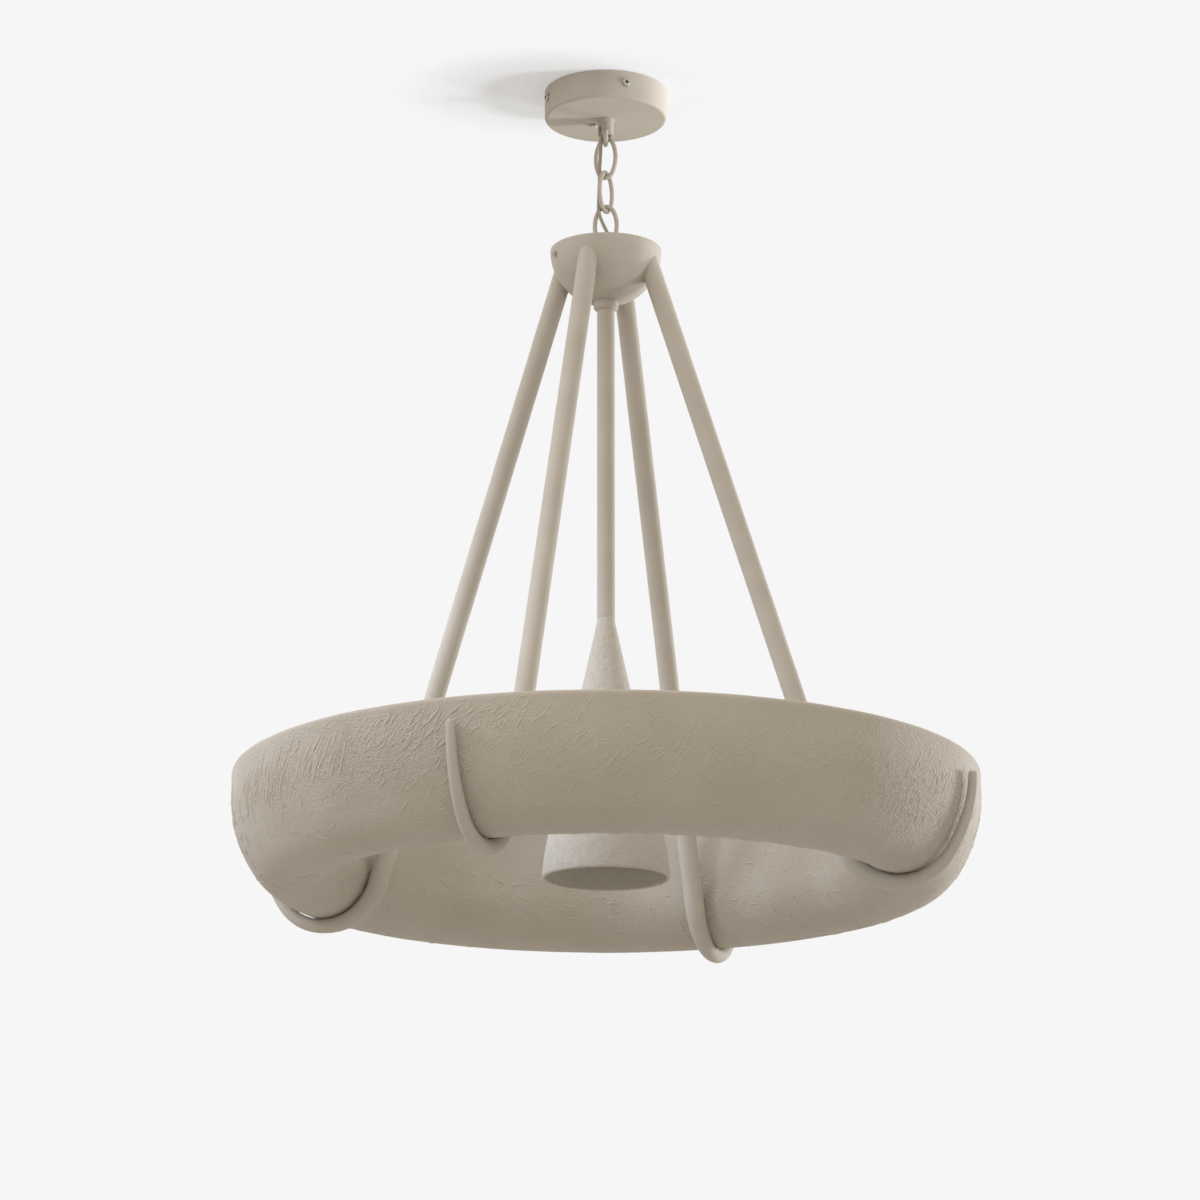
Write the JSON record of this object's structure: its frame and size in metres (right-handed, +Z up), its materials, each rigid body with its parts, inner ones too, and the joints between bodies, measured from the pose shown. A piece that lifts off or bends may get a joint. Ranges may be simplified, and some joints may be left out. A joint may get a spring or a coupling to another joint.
{
  "type": "plaster drum chandelier",
  "caption": "Ceiling chandelier: a round canopy, a short chain and a domed hub carry bent arms whose hooks hold a thick plaster drum, with a cone shade on a central stem.",
  "frame": {"origin": "on the chandelier's axis, in the ceiling plane, midway between the two ceiling screw slots", "axes": "+Z up into the ceiling along the axis, +X along the line of the screw slots, -Y towards the viewer"},
  "size_m": [0.7, 0.7, 0.8171],
  "materials": {
    "painted_plaster": "matte painted plaster with raised trowel ridges",
    "painted_cone": "matte, fine pitted plaster coat",
    "painted_metal": "matte, fine grained plaster paint",
    "zinc_steel": "zinc plated",
    "cast_spider": "as cast",
    "brass": "bright",
    "terminal_plastic": "moulded",
    "holder_plastic": "moulded, black",
    "cord_cover": "woven cover"
  },
  "bodies": {
    "canopy": {"ceiling_plate": "zinc_steel", "canopy_cup": "painted_metal", "canopy_side_screws": "zinc_steel", "hang_loop": "painted_metal", "hang_nipple": "zinc_steel", "nipple_washer": "zinc_steel", "nipple_nut": "zinc_steel", "earth_screw": "zinc_steel", "earth_nut": "zinc_steel", "terminal_block": "terminal_plastic", "terminal_screws": "zinc_steel", "chain_cord": "cord_cover"},
    "upper_link": {"link_upper": "painted_metal"},
    "middle_link": {"link_middle": "painted_metal"},
    "lower_link": {"link_lower": "painted_metal"},
    "hung_frame": {"hub_loop": "painted_metal", "hub_lid": "painted_metal", "lid_screws": "painted_metal", "hub_bowl": "painted_metal", "hub_spider": "cast_spider", "spider_nut": "zinc_steel", "arm_tube_front_right": "painted_metal", "arm_hook_front_right": "painted_metal", "arm_tube_back_right": "painted_metal", "arm_hook_back_right": "painted_metal", "arm_tube_back_left": "painted_metal", "arm_hook_back_left": "painted_metal", "arm_tube_front_left": "painted_metal", "arm_hook_front_left": "painted_metal", "drum_shell": "painted_plaster", "drum_cover": "painted_plaster", "stem_nipple": "zinc_steel", "stem_check_ring": "painted_metal", "stem_tube": "painted_metal", "stem_plug": "zinc_steel", "neck_plug": "zinc_steel", "cone_shade": "painted_cone", "lamp_rod": "zinc_steel", "lampholder_cap": "holder_plastic", "lampholder_nuts": "zinc_steel", "lampholder_body": "holder_plastic", "lampholder_shell": "brass", "lampholder_contact": "brass", "stem_cord": "cord_cover"}
  },
  "joints": [
    {"name": "upper_link_swing", "type": "hinge", "parent": "canopy", "child": "upper_link", "pos_m": [0, 0, -0.0534], "axis": [0.0349, 0.9994, 0], "range_deg": [-20, 20], "deforming": ["chain_cord"]},
    {"name": "middle_link_swing", "type": "hinge", "parent": "upper_link", "child": "middle_link", "pos_m": [0, 0, -0.08835], "axis": [0.8829, -0.4695, 0], "range_deg": [-20, 20], "deforming": ["chain_cord"]},
    {"name": "lower_link_swing", "type": "hinge", "parent": "middle_link", "child": "lower_link", "pos_m": [0, 0, -0.1236], "axis": [0.5592, 0.829, 0], "range_deg": [-20, 20], "deforming": ["chain_cord"]},
    {"name": "hub_swing", "type": "hinge", "parent": "lower_link", "child": "hung_frame", "pos_m": [0, 0, -0.15885], "axis": [0.9903, -0.1392, 0], "range_deg": [-20, 20], "deforming": ["chain_cord"]}
  ]
}
